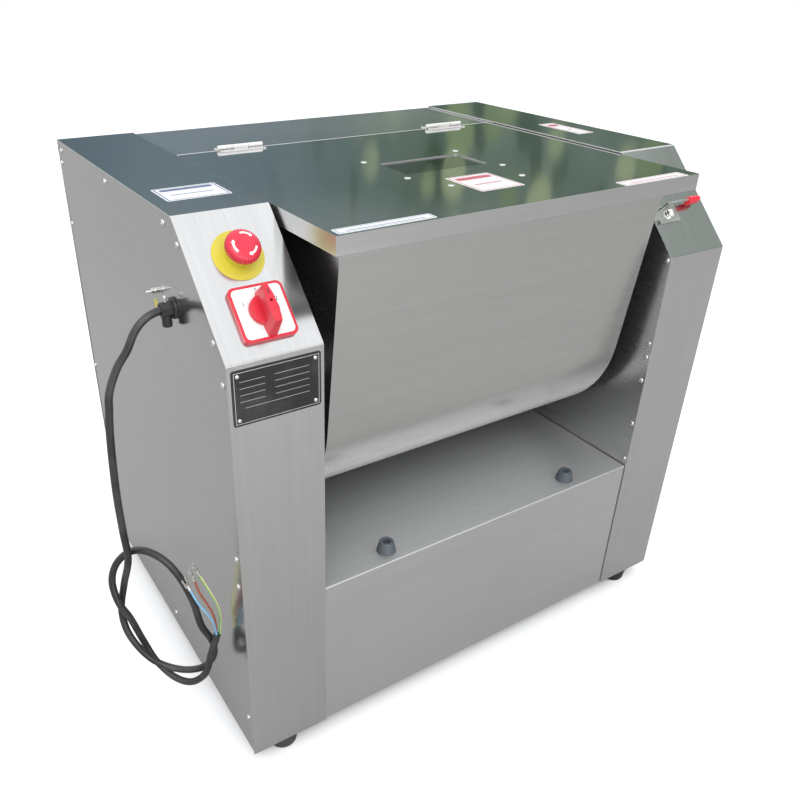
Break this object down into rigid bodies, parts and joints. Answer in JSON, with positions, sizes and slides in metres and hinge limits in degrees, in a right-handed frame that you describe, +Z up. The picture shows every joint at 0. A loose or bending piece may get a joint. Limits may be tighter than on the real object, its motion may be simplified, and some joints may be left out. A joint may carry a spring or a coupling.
{
  "type": "tilting trough dough mixer",
  "caption": "Floor or bench dough mixer with a tilting U-shaped trough between two control and drive columns, a hinged lid with a window, and a geared paddle shaft.",
  "frame": {"origin": "on the floor under the middle of the machine's box, without its cord", "axes": "+Z up, -Y towards the front where the user stands, +X to the user's right"},
  "size_m": [0.9322, 0.613, 0.7647],
  "materials": {
    "cabinet_steel": "brushed stainless sheet",
    "trough_steel": "brushed stainless sheet, brighter on the curve",
    "clear_plastic": "clear acrylic",
    "bright_steel": "bright plated or polished steel",
    "frame_steel": "dark primer",
    "foot_rubber": "matt black",
    "bumper_rubber": "matt blue-grey",
    "plate_black": "satin black",
    "estop_yellow": "satin yellow",
    "control_red": "semi-gloss red",
    "switch_white": "satin white",
    "switch_grey": "dark grey moulding",
    "gland_black": "satin black",
    "cord_black": "satin black sheath",
    "wire_plastic": "coloured insulation",
    "lug_tin": "tinned",
    "bush_bronze": "machined bronze",
    "seal_rubber": "matt black",
    "shaft_steel": "turned stainless",
    "cast_parts": "machined cast iron",
    "bearing_paint": "blue-grey enamel",
    "motor_paint": "blue-grey enamel",
    "belt_rubber": "matt black"
  },
  "bodies": {
    "cabinet": {"left_column_cover": "cabinet_steel", "right_column_cover": "cabinet_steel", "left_side_panel": "cabinet_steel", "right_side_panel": "cabinet_steel", "left_inner_panel": "cabinet_steel", "right_inner_panel": "cabinet_steel", "front_panel": "cabinet_steel", "rear_panel": "cabinet_steel", "rear_top_plate": "cabinet_steel", "panel_screws": "bright_steel", "bumper_screws": "bright_steel", "nameplate_rivets": "bright_steel", "foot_studs": "bright_steel", "earth_stud": "bright_steel", "latch_bolt": "bright_steel", "hinge_pins": "bright_steel", "fixed_hinge_leaves": "bright_steel", "base_frame": "frame_steel", "left_frame_plate": "frame_steel", "right_frame_plate": "frame_steel", "outboard_bracket": "frame_steel", "feet": "foot_rubber", "ledge_bumpers": "bumper_rubber", "nameplate": "plate_black", "estop_disc": "estop_yellow", "estop_body": "estop_yellow", "switch_bezel": "control_red", "switch_face": "switch_white", "switch_body": "switch_grey", "cable_gland": "gland_black", "gland_nut": "gland_black", "supply_cord": "cord_black", "cord_wires": "wire_plastic", "fork_lugs": "lug_tin", "trunnion_bushes": "bush_bronze", "shaft_bearings": "bearing_paint", "counter_bearings": "bearing_paint", "motor": "motor_paint", "fan_cover": "motor_paint", "drive_belt": "belt_rubber"},
    "lid": {"lid": "trough_steel", "lid_rivets": "bright_steel", "window_pane": "clear_plastic", "lid_hinge_leaves": "bright_steel"},
    "trough": {"trough": "trough_steel", "trunnions": "trough_steel", "shaft_seals": "seal_rubber"},
    "mixing_shaft": {"mixing_shaft": "shaft_steel", "paddles": "shaft_steel", "main_gear": "cast_parts"},
    "countershaft": {"countershaft": "shaft_steel", "pinion": "cast_parts", "big_pulley": "cast_parts"},
    "motor_shaft": {"motor_shaft": "shaft_steel", "motor_pulley": "cast_parts"},
    "estop_stem": {"estop_stem": "control_red"},
    "estop_head": {"estop_head": "control_red"},
    "switch_knob": {"switch_knob": "control_red"},
    "latch_lever": {"latch_lever": "bright_steel", "latch_grip": "control_red"}
  },
  "joints": [
    {"name": "trough_tilt", "type": "hinge", "parent": "cabinet", "child": "trough", "pos_m": [0.0075, -0.0775, 0.504], "axis": [1, 0, 0], "range_deg": [0, 94.4]},
    {"name": "lid_open", "type": "hinge", "parent": "cabinet", "child": "lid", "pos_m": [0.0075, 0.1285, 0.7612], "axis": [-1, 0, 0], "range_deg": [0, 175]},
    {"name": "shaft_spin", "type": "hinge", "parent": "cabinet", "child": "mixing_shaft", "pos_m": [0.0075, -0.0775, 0.504], "axis": [1, 0, 0], "continuous": true},
    {"name": "counter_spin", "type": "hinge", "parent": "cabinet", "child": "countershaft", "pos_m": [0.3525, 0.02488, 0.35778], "axis": [1, 0, 0], "continuous": true},
    {"name": "motor_spin", "type": "hinge", "parent": "cabinet", "child": "motor_shaft", "pos_m": [0.3025, 0.0105, 0.138], "axis": [1, 0, 0], "continuous": true},
    {"name": "estop_press", "type": "slide", "parent": "cabinet", "child": "estop_stem", "axis": [0, 0.7156, -0.6985], "range_m": [0, 0.005], "stiffness_N_per_m": 600, "springref_m": -0.002},
    {"name": "estop_twist", "type": "hinge", "parent": "estop_stem", "child": "estop_head", "pos_m": [-0.3395, -0.20632, 0.71921], "axis": [0, 0.7156, -0.6985], "range_deg": [0, 35], "stiffness_Nm_per_rad": 0.02, "springref_deg": -5.73},
    {"name": "switch_turn", "type": "hinge", "parent": "cabinet", "child": "switch_knob", "pos_m": [-0.3375, -0.25521, 0.66912], "axis": [0, -0.7156, 0.6985], "range_deg": [-60, 60]},
    {"name": "latch_turn", "type": "hinge", "parent": "cabinet", "child": "latch_lever", "pos_m": [0.3305, -0.24334, 0.68129], "axis": [0, 0.7156, -0.6985], "range_deg": [0, 60]}
  ],
  "couplings": [
    {"joint": "counter_spin", "follows": "shaft_spin", "ratio": -4.6667},
    {"joint": "motor_spin", "follows": "shaft_spin", "ratio": -15.556}
  ]
}
